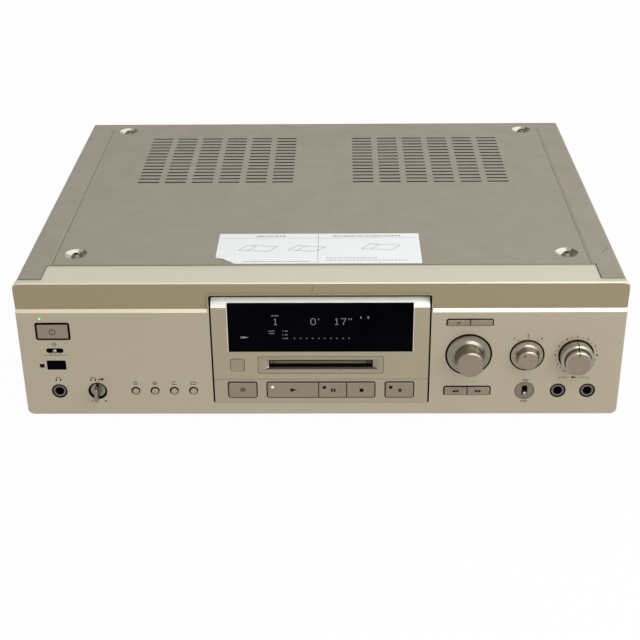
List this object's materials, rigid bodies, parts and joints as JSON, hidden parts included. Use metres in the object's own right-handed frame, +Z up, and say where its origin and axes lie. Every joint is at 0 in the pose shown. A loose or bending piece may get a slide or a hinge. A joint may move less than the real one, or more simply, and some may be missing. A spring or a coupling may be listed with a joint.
{
  "type": "slot-loading minidisc deck",
  "caption": "Full-width hi-fi minidisc recorder: slot with a sprung flap, display window, push keys, knobs and front jack sockets.",
  "frame": {"origin": "middle of the whole box, on the surface that the foot pads stand on", "axes": "+X to the right seen from the front, +Y to the back, +Z up; the front faces -Y"},
  "size_m": [0.43, 0.3548, 0.125],
  "materials": {
    "panel_gold": "fine brushed champagne anodising",
    "cover_gold": "satin champagne paint",
    "key_gold": "satin champagne plastic",
    "knob_gold": "turned champagne aluminium",
    "black_gloss": "gloss black",
    "black_plastic": "matte black",
    "light_clear": "clear light guide",
    "tube_glass": "evacuated glass tube",
    "zinc_steel": "zinc-plated sheet",
    "bright_steel": "bright plated",
    "foot_plastic": "moulded plastic",
    "pad_rubber": "soft rubber",
    "board_green": "solder-masked board",
    "coil_tape": "taped winding",
    "core_steel": "lacquered laminations",
    "sink_black": "black anodised",
    "sled_metal": "die cast"
  },
  "bodies": {
    "case": {"front_panel": "panel_gold", "display_bezel": "panel_gold", "transport_panel": "panel_gold", "display_window": "black_gloss", "slot_bezel": "key_gold", "top_cover": "cover_gold", "cover_screws": "bright_steel", "bottom_chassis": "zinc_steel", "rear_panel": "zinc_steel", "feet": "foot_plastic", "foot_pads": "pad_rubber", "front_frame": "zinc_steel", "front_board": "board_green", "light_pipes": "light_clear", "mic_switch_plate": "panel_gold", "slide_switches": "black_plastic", "remote_window": "black_gloss", "phones_socket": "black_plastic", "mic_sockets": "black_plastic", "phone_level_well": "black_plastic", "rotary_controls": "black_plastic", "display_tube": "tube_glass", "audio_sockets": "black_plastic", "mains_inlet": "black_plastic", "transformer_core": "core_steel", "transformer_coil": "coil_tape", "power_board": "board_green", "main_board": "board_green", "heat_sink": "sink_black", "drive_base": "zinc_steel", "drive_motors": "zinc_steel", "guide_rods": "bright_steel"},
    "power_key": {"power_button": "key_gold"},
    "eject_key": {"eject_button": "key_gold"},
    "play_key": {"play_button": "key_gold"},
    "pause_key": {"pause_button": "key_gold"},
    "stop_key": {"stop_button": "key_gold"},
    "record_key": {"record_button": "key_gold"},
    "no_key": {"no_button": "key_gold"},
    "yes_key": {"yes_button": "key_gold"},
    "rewind_key": {"rewind_button": "key_gold"},
    "forward_key": {"forward_button": "key_gold"},
    "time_key": {"time_button": "key_gold"},
    "mode_key": {"mode_button": "key_gold"},
    "repeat_key": {"repeat_button": "key_gold"},
    "scroll_key": {"scroll_button": "key_gold"},
    "timer_slider": {"timer_lever": "knob_gold"},
    "mic_slider": {"mic_switch_lever": "knob_gold"},
    "jog_spindle": {"jog_shaft": "bright_steel"},
    "jog_wheel": {"jog_knob": "knob_gold"},
    "input_wheel": {"input_knob": "knob_gold"},
    "level_outer": {"level_ring": "knob_gold"},
    "level_inner": {"level_knob": "knob_gold"},
    "phone_level": {"phone_level_knob": "knob_gold"},
    "flap": {"slot_flap": "black_plastic"},
    "holder": {"cartridge_holder": "zinc_steel"},
    "disc_table": {"turntable": "black_plastic"},
    "sled": {"pickup_sled": "sled_metal"},
    "screw": {"lead_screw": "bright_steel"},
    "arm": {"head_arm": "zinc_steel"}
  },
  "joints": [
    {"name": "power_press", "type": "slide", "parent": "case", "child": "power_key", "axis": [0, 1, 0], "range_m": [0, 0.001], "stiffness_N_per_m": 300, "springref_m": -0.0005},
    {"name": "eject_press", "type": "slide", "parent": "case", "child": "eject_key", "axis": [0, 1, 0], "range_m": [0, 0.001], "stiffness_N_per_m": 300, "springref_m": -0.0005},
    {"name": "play_press", "type": "slide", "parent": "case", "child": "play_key", "axis": [0, 1, 0], "range_m": [0, 0.001], "stiffness_N_per_m": 300, "springref_m": -0.0005},
    {"name": "pause_press", "type": "slide", "parent": "case", "child": "pause_key", "axis": [0, 1, 0], "range_m": [0, 0.001], "stiffness_N_per_m": 300, "springref_m": -0.0005},
    {"name": "stop_press", "type": "slide", "parent": "case", "child": "stop_key", "axis": [0, 1, 0], "range_m": [0, 0.001], "stiffness_N_per_m": 300, "springref_m": -0.0005},
    {"name": "record_press", "type": "slide", "parent": "case", "child": "record_key", "axis": [0, 1, 0], "range_m": [0, 0.001], "stiffness_N_per_m": 300, "springref_m": -0.0005},
    {"name": "no_press", "type": "slide", "parent": "case", "child": "no_key", "axis": [0, 1, 0], "range_m": [0, 0.001], "stiffness_N_per_m": 300, "springref_m": -0.0005},
    {"name": "yes_press", "type": "slide", "parent": "case", "child": "yes_key", "axis": [0, 1, 0], "range_m": [0, 0.001], "stiffness_N_per_m": 300, "springref_m": -0.0005},
    {"name": "rewind_press", "type": "slide", "parent": "case", "child": "rewind_key", "axis": [0, 1, 0], "range_m": [0, 0.001], "stiffness_N_per_m": 300, "springref_m": -0.0005},
    {"name": "forward_press", "type": "slide", "parent": "case", "child": "forward_key", "axis": [0, 1, 0], "range_m": [0, 0.001], "stiffness_N_per_m": 300, "springref_m": -0.0005},
    {"name": "time_press", "type": "slide", "parent": "case", "child": "time_key", "axis": [0, 1, 0], "range_m": [0, 0.001], "stiffness_N_per_m": 300, "springref_m": -0.0005},
    {"name": "mode_press", "type": "slide", "parent": "case", "child": "mode_key", "axis": [0, 1, 0], "range_m": [0, 0.001], "stiffness_N_per_m": 300, "springref_m": -0.0005},
    {"name": "repeat_press", "type": "slide", "parent": "case", "child": "repeat_key", "axis": [0, 1, 0], "range_m": [0, 0.001], "stiffness_N_per_m": 300, "springref_m": -0.0005},
    {"name": "scroll_press", "type": "slide", "parent": "case", "child": "scroll_key", "axis": [0, 1, 0], "range_m": [0, 0.001], "stiffness_N_per_m": 300, "springref_m": -0.0005},
    {"name": "timer_slide", "type": "slide", "parent": "case", "child": "timer_slider", "axis": [1, 0, 0], "range_m": [-0.0036, 0.0036]},
    {"name": "mic_slide", "type": "slide", "parent": "case", "child": "mic_slider", "axis": [0, 0, 1], "range_m": [0, 0.0042]},
    {"name": "jog_push", "type": "slide", "parent": "case", "child": "jog_spindle", "axis": [0, 1, 0], "range_m": [0, 0.0008], "stiffness_N_per_m": 900, "springref_m": -0.0005},
    {"name": "jog_turn", "type": "hinge", "parent": "jog_spindle", "child": "jog_wheel", "pos_m": [0.1055, -0.1616, 0.0667], "axis": [0, 1, 0], "continuous": true},
    {"name": "input_turn", "type": "hinge", "parent": "case", "child": "input_wheel", "pos_m": [0.14701, -0.1616, 0.06613], "axis": [0, 1, 0], "range_deg": [-35, 35]},
    {"name": "level_ring_turn", "type": "hinge", "parent": "case", "child": "level_outer", "pos_m": [0.1819, -0.1616, 0.06613], "axis": [0, 1, 0], "range_deg": [-150, 150]},
    {"name": "level_knob_turn", "type": "hinge", "parent": "case", "child": "level_inner", "pos_m": [0.1819, -0.1616, 0.06613], "axis": [0, 1, 0], "range_deg": [-150, 150]},
    {"name": "phone_level_turn", "type": "hinge", "parent": "case", "child": "phone_level", "pos_m": [-0.1622, -0.1616, 0.037], "axis": [0, 1, 0], "range_deg": [-150, 150]},
    {"name": "flap_swing", "type": "hinge", "parent": "case", "child": "flap", "pos_m": [0, -0.1545, 0.063], "axis": [1, 0, 0], "range_deg": [0, 88], "stiffness_Nm_per_rad": 0.0006, "springref_deg": -17.19},
    {"name": "holder_lift", "type": "slide", "parent": "case", "child": "holder", "axis": [0, 0, 1], "range_m": [-0.004, 0], "stiffness_N_per_m": 250, "springref_m": 0.003},
    {"name": "disc_spin", "type": "hinge", "parent": "case", "child": "disc_table", "pos_m": [0, -0.105, 0.047], "axis": [0, 0, 1], "continuous": true},
    {"name": "sled_slide", "type": "slide", "parent": "case", "child": "sled", "axis": [0, 1, 0], "range_m": [0, 0.016]},
    {"name": "screw_turn", "type": "hinge", "parent": "case", "child": "screw", "pos_m": [0.029, -0.0816, 0.0428], "axis": [0, 1, 0], "range_deg": [-5, 1445]},
    {"name": "arm_tilt", "type": "hinge", "parent": "sled", "child": "arm", "pos_m": [0, -0.065, 0.073], "axis": [1, 0, 0], "range_deg": [0, 25], "stiffness_Nm_per_rad": 0.004, "springref_deg": -22.92}
  ],
  "couplings": [
    {"joint": "screw_turn", "follows": "sled_slide", "rad_per_m": 1570.8}
  ]
}
